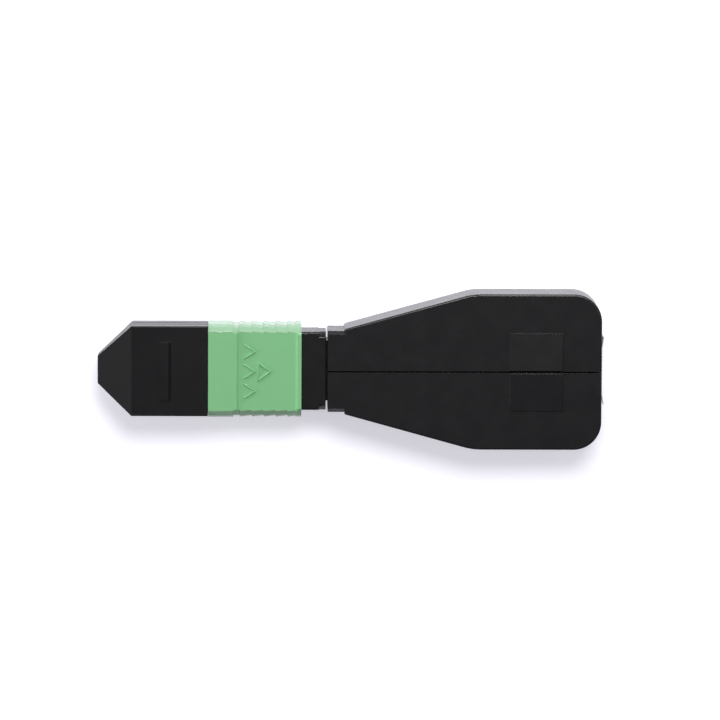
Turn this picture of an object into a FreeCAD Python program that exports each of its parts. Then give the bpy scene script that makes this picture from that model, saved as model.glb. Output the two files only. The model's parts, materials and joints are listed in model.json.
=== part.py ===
import FreeCAD, Part
import math
import os
import re
import Sketcher
from FreeCAD import Vector

# MPO loopback plug with its dust cap: a twelve-fibre plug whose fibres turn round inside a two-part
# body and come back. Every piece is modelled about the plug's axis, with X = 0 at the front face of
# the plug housing and +X to the rear. Y runs across the wide face, and Z through the thickness. Each
# piece's Placement then lifts the plug onto the ground, with the origin under its middle.

# Driving sizes, in millimetres.
sizes = {
    "slideClearance": 0.05,  # between flat faces that slide on each other
    "snugClearance": 0.03,  # between flat faces that seat
    # ferrule with its boot and clamp
    "ferruleWidth": 6.4,
    "ferruleHeight": 2.5,
    "ferruleLength": 8.0,
    "ferruleProud": 0.8,
    "ferruleAngle": 8.0,  # degrees
    "shoulderStep": 0.4,  # shoulder past the ferrule's narrow sides
    "shoulderLift": 0.3,  # shoulder past its wide sides
    "shoulderLength": 2.0,
    "pinBore": 0.7,
    "pinSpacing": 4.6,
    "glueWindowStart": 1.6,
    "glueWindowLength": 3.0,
    "ribbonClearance": 0.055,  # beside the row of fibres
    "ribbonHeight": 0.5,
    "ribbonDepth": 6.0,
    "bootSideWall": 0.15,
    "bootWall": 0.4,
    "bootSeat": 2.2,  # boot that goes into the ferrule
    "bootStep": 0.25,  # boot's collar past the boot
    "bootCollarLength": 2.3,
    "clampRoom": 0.3,  # above and below the clamp in the cavity
    "clampLength": 1.4,
    "bossSideGap": 0.75,  # between the clamp's boss and the main spring
    "bossGap": 0.2,
    "bossLength": 0.8,
    # plug housing, from the cavity outwards
    "cavityClearance": 0.2,  # beside the ferrule's shoulder
    "cavityRoom": 0.55,  # above and below it
    "latchDepth": 0.8,
    "latchWall": 0.2,  # left between a latch notch and the cavity
    "noseWall": 0.5,
    "noseStep": 0.55,  # full section past the nose
    "noseReach": 8.4,  # nose ahead of the coupling sleeve
    "noseRoot": 0.8,  # nose that the sleeve covers
    "noseChamfer": 0.35,
    "plugChamfer": 0.2,
    "keyStart": 1.6,
    "keyWidth": 3.0,
    "latchStart": 5.4,
    "latchLength": 2.6,
    "grooveLead": 0.8,  # full section ahead of the grooves for the coupling springs
    "grooveWall": 0.6,  # between a groove and the latch window behind it
    "windowLength": 1.7,
    "windowHeight": 2.6,
    "housingLip": 1.0,  # behind the latch windows
    # springs
    "mainWire": 0.45,
    "mainTurns": 6,
    "springClearance": 0.15,
    "couplingWire": 0.2,
    "couplingDiameter": 1.1,
    "couplingTurns": 6,
    "couplingLength": 3.9,
    # coupling sleeve
    "sleeveLength": 12.65,
    "sleeveSideWall": 0.83,
    "sleeveWall": 0.6,
    "sleeveShoulder": 0.9,  # rounding of the wide faces into the narrow ones
    "rimShoulder": 1.2,
    "sleeveClearance": 0.15,
    "sleeveTravel": 1.1,
    "sleeveSpare": 1.33,  # left to the flange when the sleeve is pulled back
    "gripDepth": 0.2,
    "sideStart": 3.4,  # sunk band on the narrow faces
    "gripStart": 4.1,  # sunk band on the wide faces as well
    "ribStart": 4.3,
    "ribCount": 5,
    "lastRib": 0.667,  # what the rim leaves of the last rib
    "rimLength": 0.8,
    "lugLength": 0.8,
    "lugHeight": 1.2,
    # spring push
    "pushLead": 0.3,  # stub ahead of the latch windows
    "armThickness": 0.6,
    "armSlot": 0.4,
    "hookReach": 0.85,
    "hookPlay": 0.3,
    "flangeLength": 0.88,
    "flangeChamfer": 0.75,
    "neckSideStep": 1.25,  # neck inside the plug's section
    "neckStep": 0.75,
    "lipStep": 0.5,  # lip past the neck
    "lipLength": 1.0,
    "tailSideStep": 1.1,  # tail inside the neck
    "tailStep": 0.7,
    "tailLength": 1.6,
    "passageWall": 0.25,  # beside the ribbon in the passage
    "passageHeight": 1.4,
    # loopback body, two halves
    "bodyGap": 0.27,  # between the flange and the collar
    "collarLength": 2.25,
    "collarSideWall": 1.43,  # beside the neck
    "collarWall": 1.2,  # ahead of the lip, and behind it
    "collarChamfer": 0.5,
    "frontStep": 0.3,  # front of the taper past the collar
    "fullWidth": 21.25,
    "bodyHeight": 8.0,
    "taperLength": 17.4,
    "straightLength": 17.55,
    "cornerRound": 3.8,
    "taperRound": 9.0,
    "frontRound": 0.3,
    "edgeRound": 0.25,
    "shellWall": 1.4,
    "seamChamfer": 0.1,
    "dowelDiameter": 1.0,
    "dowelLength": 1.2,
    "dowelWall": 0.5,
    "dowelClearance": 0.05,
    "dowelInset": 1.9,  # dowels from the bay's end walls
    "padStart": 5.0,  # wedge pads behind the taper
    "padLength": 7.3,
    "padWidth": 5.35,
    "padStep": 0.1,
    "padRise": 0.15,
    "padSeam": 0.15,
    # label on the rear end face
    "labelThickness": 0.1,
    "labelWidth": 9.2,
    "labelHeight": 4.6,
    "labelLift": 0.25,
    "labelFlap": 1.6,
    "labelGap": 0.02,
    # dust cap
    "capLength": 15.0,
    "capGap": 0.05,
    "capSideWall": 1.3,
    "capWall": 0.55,  # over the key
    "capRoom": 1.65,  # ahead of the nose
    "capNose": 4.65,
    "tipWidth": 3.7,
    "tipHeight": 3.3,
    "capRound": 0.15,
    "barStart": 8.27,
    "barLength": 1.4,
    "barWidth": 7.9,
    "barRise": 0.25,
    # looped fibres
    "fibreDiameter": 0.24,
    "fibrePitch": 0.25,
    "fibreCount": 12,
    "loopSide": 0.9,  # between the outermost loop and the side walls
    "loopRear": 1.0,  # between it and the rear wall
    "loopStep": 0.35,
    "loopFlare": 25.0,  # degrees
    "flareRadius": 12.0,
}

doc = FreeCAD.newDocument("mpo_loopback_plug")
sheet = doc.addObject("Spreadsheet::Sheet", "sizes")
for row, (alias, size) in enumerate(sizes.items(), start=1):
    sheet.set(f"A{row}", alias)
    sheet.set(f"B{row}", str(size))
    sheet.setAlias(f"B{row}", alias)
doc.recompute()

aliasWord = re.compile(r"\b(" + "|".join(sizes) + r")\b")


def bound(formula):
    """A formula on the sizes' names, as an expression that reads the sheet."""
    return aliasWord.sub(r"sizes.\1", formula)


def value(formula):
    return float(sheet.evalExpression(bound(formula)))


# Sections that follow from the driving sizes, each round what it holds.
ribbonWidth = "((fibreCount - 1) * fibrePitch + fibreDiameter + 2 * ribbonClearance)"
bootWidth = f"({ribbonWidth} + 2 * bootSideWall)"
bootHeight = "(ribbonHeight + 2 * bootWall)"
bootCollarWidth = f"({bootWidth} + 2 * bootStep)"
bootCollarHeight = f"({bootHeight} + 2 * bootStep)"
shoulderWidth = "(ferruleWidth + 2 * shoulderStep)"
shoulderHeight = "(ferruleHeight + 2 * shoulderLift)"
cavityWidth = f"({shoulderWidth} + 2 * cavityClearance)"
cavityHeight = f"({shoulderHeight} + 2 * cavityRoom)"
clampHeight = f"({cavityHeight} - 2 * clampRoom)"
coilWidth = f"({cavityWidth} - 2 * springClearance)"
coilHeight = f"({cavityHeight} - 2 * springClearance)"
bossWidth = f"({coilWidth} - 2 * (mainWire + bossSideGap))"
bossHeight = f"({coilHeight} - 2 * (mainWire + bossGap))"
noseWidth = f"({cavityWidth} + 2 * (latchWall + latchDepth))"
noseHeight = f"({cavityHeight} + 2 * noseWall)"
plugWidth = f"({noseWidth} + 2 * noseStep)"
plugHeight = f"({noseHeight} + 2 * noseStep)"
sleeveWidth = f"({plugWidth} + 2 * (sleeveClearance + sleeveSideWall))"
sleeveHeight = f"({plugHeight} + 2 * (sleeveClearance + sleeveWall))"
capWidth = f"({noseWidth} + 2 * (slideClearance + capSideWall))"
capHeight = f"({plugHeight} + 2 * (slideClearance + capWall))"
neckWidth = f"({plugWidth} - 2 * neckSideStep)"
neckHeight = f"({plugHeight} - 2 * neckStep)"
lipWidth = f"({neckWidth} + 2 * lipStep)"
lipHeight = f"({neckHeight} + 2 * lipStep)"
tailWidth = f"({neckWidth} - 2 * tailSideStep)"
tailHeight = f"({neckHeight} - 2 * tailStep)"
passageWidth = f"({ribbonWidth} + 2 * passageWall)"
collarWidth = f"({neckWidth} + 2 * collarSideWall)"
frontWidth = f"({collarWidth} + 2 * frontStep)"
bayHeight = "(bodyHeight - 2 * shellWall)"
grooveHeight = "(couplingDiameter + 4 * slideClearance)"  # grooves for the coupling springs
grooveFloor = f"({plugWidth} / 2 - couplingDiameter - slideClearance)"

# Stations along the axis.
ferruleRear = "(ferruleLength - ferruleProud)"
seatStart = f"({ferruleRear} - shoulderLength - slideClearance)"
clampStart = f"({ferruleRear} + slideClearance)"
bossStart = f"({clampStart} + clampLength)"
bodyStart = "(noseReach + noseRoot)"  # where the housing's nose meets its full section
grooveStart = f"({bodyStart} + grooveLead)"
grooveLength = "(lugLength + couplingLength)"
windowStart = f"({grooveStart} + {grooveLength} + grooveWall)"
housingLength = f"({windowStart} + windowLength + housingLip)"
pushStart = f"({windowStart} - pushLead)"
blockStart = f"({housingLength} + snugClearance)"
sleeveEnd = "(noseReach + sleeveLength)"
flangeStart = f"({sleeveEnd} + sleeveTravel + sleeveSpare)"
flangeEnd = f"({flangeStart} + flangeLength)"
collarStart = f"({flangeEnd} + bodyGap)"
lipStart = f"({collarStart} + collarWall + snugClearance)"
lipEnd = f"({lipStart} + lipLength)"
shellStart = f"({collarStart} + collarLength)"
bayStart = f"({lipEnd} + snugClearance + collarWall)"
taperEnd = f"({shellStart} + taperLength)"
shellEnd = f"({taperEnd} + straightLength)"
bayEnd = f"({shellEnd} - shellWall)"
capRear = "(noseReach - capGap)"
capTip = f"({capRear} - capLength)"
labelEnd = f"({shellEnd} + labelGap + labelLift + labelThickness)"

centreX = f"-({capTip} + {labelEnd}) / 2"
axisZ = "bodyHeight / 2"

# Corners of a rounded shoulder, inwards from the narrow face and down from the wide one, as
# parts of its size.
shoulderCorners = ((1, 0), (0.28, 0.62), (0, 1.5))
tolerance = 1e-4  # for the places of edges
# Round stock is a prism of a few sides, in short straight runs.
turnRuns = 12  # in each turn of a spring
mainSides = 8
couplingSides = 6
fibreSides = 6
fibreRuns = 6  # the runs leave the fibre's true line by this part of its diameter


def place(piece):
    piece.setExpression("Placement.Base.x", bound(centreX))
    piece.setExpression("Placement.Base.z", bound(axisZ))


def newBody(label):
    body = doc.addObject("PartDesign::Body", label)
    body.Label = label
    place(body)
    return body


def outline(body, plane, offset, points):
    """A closed polygon on an origin plane, each corner held by two formulas."""
    sketch = body.newObject("Sketcher::SketchObject", "Outline")
    base = next(item for item in body.Origin.OriginFeatures if item.Role == plane)
    sketch.AttachmentSupport = [(base, "")]
    sketch.MapMode = "FlatFace"
    sketch.setExpression("AttachmentOffset.Base.z", bound(offset))
    corners = [Vector(value(across), value(up), 0) for across, up in points]
    for number, corner in enumerate(corners):
        sketch.addGeometry(Part.LineSegment(corner, corners[(number + 1) % len(corners)]))
    for number, corner in enumerate(corners):
        following = (number + 1) % len(corners)
        sketch.addConstraint(Sketcher.Constraint("Coincident", number, 2, following, 1))
        for kind, size, formula in (("DistanceX", corner.x, points[number][0]),
                                    ("DistanceY", corner.y, points[number][1])):
            index = sketch.addConstraint(Sketcher.Constraint(kind, -1, 1, number, 1, size))
            sketch.setExpression(f"Constraints[{index}]", bound(formula))
    return sketch


def circle(body, plane, offset, across, up, diameter):
    sketch = body.newObject("Sketcher::SketchObject", "Circle")
    base = next(item for item in body.Origin.OriginFeatures if item.Role == plane)
    sketch.AttachmentSupport = [(base, "")]
    sketch.MapMode = "FlatFace"
    sketch.setExpression("AttachmentOffset.Base.z", bound(offset))
    centre = Vector(value(across), value(up), 0)
    sketch.addGeometry(Part.Circle(centre, Vector(0, 0, 1), value(diameter) / 2))
    for kind, size, formula in (("DistanceX", centre.x, across), ("DistanceY", centre.y, up)):
        index = sketch.addConstraint(Sketcher.Constraint(kind, -1, 1, 0, 3, size))
        sketch.setExpression(f"Constraints[{index}]", bound(formula))
    index = sketch.addConstraint(Sketcher.Constraint("Diameter", 0, value(diameter)))
    sketch.setExpression(f"Constraints[{index}]", bound(diameter))
    return sketch


def span(low, high, bottom, top):
    """Corners of a rectangle between limits."""
    return [(low, bottom), (high, bottom), (high, top), (low, top)]


def rectangle(width, height):
    """Corners of a rectangle about the plug's axis."""
    return span(f"-({width}) / 2", f"({width}) / 2", f"-({height}) / 2", f"({height}) / 2")


def chamfered(width, height, cut):
    """The same rectangle with its corners cut off."""
    outerY, outerZ = f"(({width}) / 2)", f"(({height}) / 2)"
    innerY, innerZ = f"({outerY} - {cut})", f"({outerZ} - {cut})"
    return [(f"-{innerY}", f"-{outerZ}"), (innerY, f"-{outerZ}"), (outerY, f"-{innerZ}"),
            (outerY, innerZ), (innerY, outerZ), (f"-{innerY}", outerZ), (f"-{outerY}", innerZ),
            (f"-{outerY}", f"-{innerZ}")]


def shouldered(width, height, shoulder):
    """The same rectangle with each corner rounded off in two facets."""
    quarter = [(f"(({width}) / 2 - {inward} * {shoulder})", f"(({height}) / 2 - {down} * {shoulder})")
               for inward, down in shoulderCorners]
    upper = [(f"-{across}", up) for across, up in reversed(quarter)] + quarter
    return upper + [(across, f"-{up}") for across, up in reversed(upper)]


def pad(body, sketch, length):
    feature = body.newObject("PartDesign::Pad", "Pad")
    feature.Profile = sketch
    feature.setExpression("Length", bound(length))
    doc.recompute()
    return feature


def pocket(body, sketch, length):
    """A cut along the sketch's own normal; a cut that removes nothing is an error."""
    before = body.Shape.Volume
    feature = body.newObject("PartDesign::Pocket", "Pocket")
    feature.Profile = sketch
    feature.Reversed = True
    feature.setExpression("Length", bound(length))
    doc.recompute()
    if body.Shape.Volume > before - 1e-6:
        raise RuntimeError(f"{body.Label}: {feature.Name} cuts nothing")
    return feature


def dress(body, kind, size, chosen):
    """Fillet or chamfer the edges that a test picks."""
    tip = body.Tip
    edges = [f"Edge{number}" for number, edge in enumerate(tip.Shape.Edges, start=1)
             if chosen(edge)]
    if not edges:
        raise RuntimeError(f"{body.Label}: no edge for the {kind}")
    feature = body.newObject(f"PartDesign::{kind}", kind)
    feature.Base = (tip, edges)
    feature.setExpression("Radius" if kind == "Fillet" else "Size", bound(size))
    doc.recompute()
    return feature


def runsAlong(edge, axis):
    if not isinstance(edge.Curve, Part.Line):
        return False
    return abs(edge.tangentAt(edge.FirstParameter).dot(axis)) > 0.999


def near(one, other):
    return abs(one - other) < tolerance


alongX = Vector(1, 0, 0)
alongZ = Vector(0, 0, 1)


def dustCap():
    body = newBody("dust_cap")
    noseEnd = f"({capTip} + capNose)"
    low, high = f"-{capWidth} / 2", f"{capWidth} / 2"
    pad(body, outline(body, "XY_Plane", f"-{capHeight} / 2", [
        (capTip, "-tipWidth / 2"), (noseEnd, low), (capRear, low),
        (capRear, high), (noseEnd, high), (capTip, "tipWidth / 2")]), capHeight)
    for side in ("-", ""):  # the wide faces fall away towards the tip
        outer = f"{side}({capHeight} / 2)"
        wedge = [(capTip, f"{side}(tipHeight / 2)"), (noseEnd, outer), (capTip, outer)]
        pocket(body, outline(body, "XZ_Plane", low, wedge), capWidth)
    dress(body, "Fillet", "capRound",
          lambda edge: runsAlong(edge, alongX) or near(edge.BoundBox.XMax, value(capTip)))
    pad(body, outline(body, "YZ_Plane", f"{capTip} + barStart",
                      span("-barWidth / 2", "barWidth / 2", f"{capHeight} / 2 - barRise",
                           f"{capHeight} / 2 + barRise")), "barLength")
    depth = f"({capRear} + capRoom)"
    socket = rectangle(f"{noseWidth} + 2 * slideClearance", f"{noseHeight} + 2 * slideClearance")
    pocket(body, outline(body, "YZ_Plane", "-capRoom", socket), depth)
    keyway = span("-(keyWidth / 2 + slideClearance)", "keyWidth / 2 + slideClearance",
                  "0", f"({plugHeight} / 2 + slideClearance)")
    pocket(body, outline(body, "YZ_Plane", "-capRoom", keyway), depth)
    return body


def couplingSleeve():
    body = newBody("coupling_sleeve")
    ribs = "(noseReach + ribStart)"
    bandEnd = f"({sleeveEnd} - rimLength)"
    sunkWidth = f"({sleeveWidth} - 2 * gripDepth)"
    sunkHeight = f"({sleeveHeight} - 2 * gripDepth)"

    def section(station, width, height, shoulder="sleeveShoulder"):
        return outline(body, "YZ_Plane", station, shouldered(width, height, shoulder))

    pad(body, section("noseReach", sleeveWidth, sleeveHeight), "sideStart")
    pad(body, section("noseReach + sideStart", sunkWidth, sleeveHeight), "gripStart - sideStart")
    pad(body, section("noseReach + gripStart", sunkWidth, sunkHeight),
        f"{bandEnd} - noseReach - gripStart")
    pad(body, section(bandEnd, sleeveWidth, sleeveHeight, "rimShoulder"), "rimLength")
    # Saw-tooth ribs round the narrow faces: each falls to the rear, and the next one steps out.
    # The rear rim cuts the last one short.
    ribPitch = f"(({bandEnd} - {ribs}) / (ribCount - 1 + lastRib))"
    lastStart = f"({bandEnd} - lastRib * {ribPitch})"

    def rib(start, end, rearWidth):
        feature = body.newObject("PartDesign::AdditiveLoft", "Rib")
        feature.Profile = section(start, sleeveWidth, sunkHeight)
        feature.Sections = [section(end, rearWidth, sunkHeight)]
        feature.Ruled = True
        doc.recompute()
        return feature

    rib(lastStart, bandEnd, f"({sleeveWidth} - 2 * lastRib * gripDepth)")
    whole = rib(ribs, f"({ribs} + {ribPitch})", sunkWidth)
    pattern = body.newObject("PartDesign::LinearPattern", "Ribs")
    pattern.Originals = [whole]
    axis = next(item for item in body.Origin.OriginFeatures if item.Role == "X_Axis")
    pattern.Direction = (axis, [""])
    pattern.setExpression("Length", bound(f"(ribCount - 2) * {ribPitch}"))
    pattern.setExpression("Occurrences", bound("ribCount - 1"))
    body.Tip = pattern
    doc.recompute()
    pocket(body, outline(body, "YZ_Plane", "noseReach",
                         rectangle(f"{plugWidth} + 2 * sleeveClearance",
                                   f"{plugHeight} + 2 * sleeveClearance")), "sleeveLength")
    for side in ("-", ""):  # lugs that press on the coupling springs
        lug = span(f"{side}({grooveFloor} + slideClearance)",
                   f"{side}({plugWidth} / 2 + 2 * sleeveClearance)",
                   "-lugHeight / 2", "lugHeight / 2")
        pad(body, outline(body, "YZ_Plane", grooveStart, lug), "lugLength")
    return body


def plugHousing():
    body = newBody("plug_housing")
    pad(body, outline(body, "YZ_Plane", bodyStart, rectangle(plugWidth, plugHeight)),
        f"{housingLength} - {bodyStart}")
    dress(body, "Chamfer", "plugChamfer", lambda edge: runsAlong(edge, alongX))
    pad(body, outline(body, "YZ_Plane", "0", rectangle(noseWidth, noseHeight)), bodyStart)
    dress(body, "Chamfer", "noseChamfer", lambda edge: near(edge.BoundBox.XMax, 0))
    pad(body, outline(body, "YZ_Plane", "keyStart",
                      span("-keyWidth / 2", "keyWidth / 2", "0", f"{plugHeight} / 2")),
        f"{bodyStart} - keyStart")
    mouth = rectangle("ferruleWidth + 2 * slideClearance", "ferruleHeight + 2 * slideClearance")
    pocket(body, outline(body, "YZ_Plane", "0", mouth), seatStart)
    pocket(body, outline(body, "YZ_Plane", seatStart, rectangle(cavityWidth, cavityHeight)),
           f"{housingLength} - {seatStart}")
    for side in ("-", ""):
        latch = span("latchStart", "latchStart + latchLength",
                     f"{side}({noseWidth} / 2 - latchDepth)", f"{side}({noseWidth} / 2)")
        pocket(body, outline(body, "XY_Plane", f"-{noseHeight} / 2", latch), noseHeight)
        groove = span(grooveStart, f"{grooveStart} + {grooveLength}",
                      f"{side}{grooveFloor}", f"{side}({plugWidth} / 2)")
        pocket(body, outline(body, "XY_Plane", f"-{grooveHeight} / 2", groove), grooveHeight)
        window = span(windowStart, f"{windowStart} + windowLength",
                      f"{side}({cavityWidth} / 2 - slideClearance)", f"{side}({plugWidth} / 2)")
        pocket(body, outline(body, "XY_Plane", "-windowHeight / 2", window), "windowHeight")
    return body


def ferrule():
    body = newBody("mt_ferrule")
    face = "-ferruleProud"
    slant = "(ferruleHeight / 2 * tan(ferruleAngle * 1 deg))"
    pad(body, outline(body, "XZ_Plane", "-ferruleWidth / 2", [
        (f"{face} - {slant}", "-ferruleHeight / 2"), (ferruleRear, "-ferruleHeight / 2"),
        (ferruleRear, "ferruleHeight / 2"), (f"{face} + {slant}", "ferruleHeight / 2")]),
        "ferruleWidth")
    pad(body, outline(body, "YZ_Plane", f"{ferruleRear} - shoulderLength",
                      rectangle(shoulderWidth, shoulderHeight)), "shoulderLength")
    pocket(body, outline(body, "YZ_Plane", f"{ferruleRear} - bootSeat",
                         rectangle(f"{bootWidth} + 2 * snugClearance",
                                   f"{bootHeight} + 2 * snugClearance")), "bootSeat")
    pocket(body, outline(body, "YZ_Plane", f"{ferruleRear} - ribbonDepth",
                         rectangle(ribbonWidth, "ribbonHeight")), "ribbonDepth")
    pocket(body, outline(body, "XY_Plane", "0",
                         span("glueWindowStart", "glueWindowStart + glueWindowLength",
                              f"-{ribbonWidth} / 2", f"{ribbonWidth} / 2")), "ferruleHeight")
    for side in ("-", ""):
        pocket(body, circle(body, "YZ_Plane", f"{face} - ferruleHeight",
                            f"{side}(pinSpacing / 2)", "0", "pinBore"),
               f"{ferruleRear} - {face} + ferruleHeight")
    return body


def ferruleBoot():
    body = newBody("ferrule_boot")
    start = f"({ferruleRear} - bootSeat + snugClearance)"
    collar = f"({ferruleRear} + snugClearance)"
    pad(body, outline(body, "YZ_Plane", start, rectangle(bootWidth, bootHeight)),
        f"{collar} - {start}")
    pad(body, outline(body, "YZ_Plane", collar, rectangle(bootCollarWidth, bootCollarHeight)),
        "bootCollarLength")
    pocket(body, outline(body, "YZ_Plane", start, rectangle(ribbonWidth, "ribbonHeight")),
           f"{collar} + bootCollarLength - {start}")
    return body


def pinClamp():
    body = newBody("pin_clamp")
    pad(body, outline(body, "YZ_Plane", clampStart, rectangle(shoulderWidth, clampHeight)),
        "clampLength")
    dress(body, "Chamfer", "plugChamfer", lambda edge: runsAlong(edge, alongX))
    pad(body, outline(body, "YZ_Plane", bossStart, rectangle(bossWidth, bossHeight)),
        "bossLength")
    dress(body, "Fillet", f"{bossHeight} / 2 - 2 * slideClearance",
          lambda edge: runsAlong(edge, alongX) and edge.BoundBox.XMin > value(bossStart) - tolerance)
    pocket(body, outline(body, "YZ_Plane", clampStart,
                         rectangle(f"{bootCollarWidth} + 2 * snugClearance",
                                   f"{bootCollarHeight} + 2 * snugClearance")),
           "clampLength + bossLength")
    return body


def springPush():
    body = newBody("spring_push")
    stubWidth = f"({cavityWidth} - 2 * slideClearance)"
    stubHeight = f"({cavityHeight} - 2 * slideClearance)"
    for start, end, section in (
            (blockStart, flangeStart, chamfered(plugWidth, plugHeight, "plugChamfer")),
            (flangeStart, flangeEnd, chamfered(plugWidth, plugHeight, "flangeChamfer")),
            (flangeEnd, lipStart, rectangle(neckWidth, neckHeight)),
            (lipStart, lipEnd, rectangle(lipWidth, lipHeight)),
            (lipEnd, f"{lipEnd} + tailLength", rectangle(tailWidth, tailHeight)),
            (pushStart, blockStart, rectangle(stubWidth, stubHeight))):
        pad(body, outline(body, "YZ_Plane", start, section), f"{end} - {start}")
    hookStart = f"({windowStart} + slideClearance)"
    hookEnd = f"({windowStart} + windowLength - 2 * hookPlay)"
    hookHeight = "(windowHeight - 2 * hookPlay)"
    for side in ("-", ""):
        wall = f"{side}({stubWidth} / 2)"
        tip = f"{side}({stubWidth} / 2 + hookReach)"
        pad(body, outline(body, "XY_Plane", f"-{hookHeight} / 2", [
            (hookStart, wall), (hookEnd, wall), (hookEnd, tip),
            (f"({hookStart} + {hookEnd}) / 2", tip)]), hookHeight)
        slot = span(f"{side}({stubWidth} / 2 - armThickness - armSlot)",
                    f"{side}({stubWidth} / 2 - armThickness)",
                    f"-{stubHeight} / 2", f"{stubHeight} / 2")
        pocket(body, outline(body, "YZ_Plane", pushStart, slot), f"{blockStart} - {pushStart}")
    pocket(body, outline(body, "YZ_Plane", pushStart, rectangle(passageWidth, "passageHeight")),
           f"{lipEnd} + tailLength - {pushStart}")
    return body


def shell(label, side):
    """One half of the loopback body. side is the sign of its Y, as text."""
    body = newBody(label)
    sign = -1 if side == "-" else 1
    slope = f"((fullWidth - {frontWidth}) / 2 / taperLength)"
    edgeY = f"{side}(fullWidth / 2)"
    pad(body, outline(body, "XY_Plane", "-bodyHeight / 2", [
        (shellStart, "0"), (shellEnd, "0"), (shellEnd, edgeY), (taperEnd, edgeY),
        (shellStart, f"{side}({frontWidth} / 2)")]), "bodyHeight")
    corners = ((shellEnd, "cornerRound"), (taperEnd, "taperRound"), (shellStart, "frontRound"))
    for station, radius in corners:
        dress(body, "Fillet", radius, lambda edge: runsAlong(edge, alongZ)
              and near(edge.BoundBox.XMax, value(station)) and abs(edge.BoundBox.YMax) > 1)

    def atRim(edge):  # outline of the two wide faces, without the seam and the front
        box = edge.BoundBox
        return (near(abs(box.ZMin), value("bodyHeight") / 2) and box.ZLength < tolerance
                and abs(box.YMax) + abs(box.YMin) > tolerance
                and box.XMax > value(shellStart) + value("frontRound") + tolerance)

    dress(body, "Fillet", "edgeRound", atRim)
    # Collar round the plug's neck, flush with the wide faces.
    rim = f"{side}({collarWidth} / 2)"
    shoulder = f"{side}({collarWidth} / 2 - collarChamfer)"
    pad(body, outline(body, "YZ_Plane", collarStart, [
        ("0", "-bodyHeight / 2"), (shoulder, "-bodyHeight / 2"),
        (rim, "-(bodyHeight / 2 - collarChamfer)"), (rim, "bodyHeight / 2 - collarChamfer"),
        (shoulder, "bodyHeight / 2"), ("0", "bodyHeight / 2")]),
        "collarLength + 2 * frontRound")

    # Bay for the loops, with a wall that follows the outline.
    longer = f"sqrt(1 + {slope} * {slope})"
    bayFrontY = (f"{side}({frontWidth} / 2 + ({bayStart} - {shellStart}) * {slope}"
                 f" - shellWall * {longer})")
    bayTaperEnd = f"({taperEnd} + shellWall * ({longer} - 1) / {slope})"
    baySideY = f"{side}(fullWidth / 2 - shellWall)"
    pocket(body, outline(body, "XY_Plane", f"-{bayHeight} / 2", [
        (bayStart, "0"), (bayEnd, "0"), (bayEnd, baySideY), (bayTaperEnd, baySideY),
        (bayStart, bayFrontY)]), bayHeight)
    dress(body, "Fillet", "cornerRound - shellWall", lambda edge: runsAlong(edge, alongZ)
          and near(edge.BoundBox.XMax, value(bayEnd)) and abs(edge.BoundBox.YMax) > 1)
    # Seats for the neck, the lip and the tail of the spring push.
    for start, length, width, height in (
            (collarStart, "collarWall", neckWidth, neckHeight),
            (f"({collarStart} + collarWall)", "lipLength + 2 * snugClearance", lipWidth,
             lipHeight),
            (f"({lipEnd} + snugClearance)", "collarWall", tailWidth, tailHeight)):
        seat = span("0", f"{side}({width} / 2 + snugClearance)",
                    f"-({height} / 2 + snugClearance)", f"{height} / 2 + snugClearance")
        pocket(body, outline(body, "YZ_Plane", start, seat), length)
    dress(body, "Chamfer", "seamChamfer", lambda edge: near(abs(edge.BoundBox.YMin), 0)
          and near(abs(edge.BoundBox.YMax), 0) and (
              near(edge.BoundBox.ZMax, value("bodyHeight") / 2)
              or near(edge.BoundBox.ZMin, -value("bodyHeight") / 2)
              or near(edge.BoundBox.XMax, value(shellEnd))))

    # Dowels on one half and their sockets in the other, in bosses on the wide walls.
    normal = -sign  # the sketch's normal points to -Y
    dowelBoss = "(dowelDiameter + 2 * dowelWall)"
    for station in (f"({taperEnd} + dowelInset)", f"({bayEnd} - dowelInset - {dowelBoss})"):
        for level in ("-", ""):
            up = f"{level}({bayHeight} / 2)"
            boss = pad(body, circle(body, "XZ_Plane", "0", station, up, dowelBoss),
                       "fullWidth / 2 - shellWall / 2")
            boss.Reversed = normal < 0
            doc.recompute()
            if sign > 0:
                pad(body, circle(body, "XZ_Plane", "0", station, up, "dowelDiameter"),
                    "dowelLength")
            else:
                pocket(body, circle(body, "XZ_Plane", "0", station, up,
                                    "dowelDiameter + 2 * dowelClearance"),
                       "dowelLength + 2 * dowelClearance")
    # Wedge pad on the upper face, highest beside the seam.
    top = "bodyHeight / 2"
    pad(body, outline(body, "YZ_Plane", f"{taperEnd} + padStart", [
        (f"{side}padSeam", f"{top} - padStep"), (f"{side}padWidth", f"{top} - padStep"),
        (f"{side}padWidth", f"{top} + padStep"), (f"{side}padSeam", f"{top} + padStep + padRise")]),
        "padLength")
    return body


def sealLabel():
    body = newBody("seal_label")
    inner = f"({shellEnd} + labelGap)"
    fold = "(labelWidth / 2 - labelFlap)"
    pad(body, outline(body, "XY_Plane", "-labelHeight / 2", [
        (inner, f"-{fold}"), (f"{inner} + labelLift", "-labelWidth / 2"),
        (f"{inner} + labelLift + labelThickness", "-labelWidth / 2"),
        (f"{inner} + labelThickness", f"-{fold}"), (f"{inner} + labelThickness", fold),
        (f"{inner} + labelLift + labelThickness", "labelWidth / 2"),
        (f"{inner} + labelLift", "labelWidth / 2"), (inner, fold)]), "labelHeight")
    return body


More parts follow.
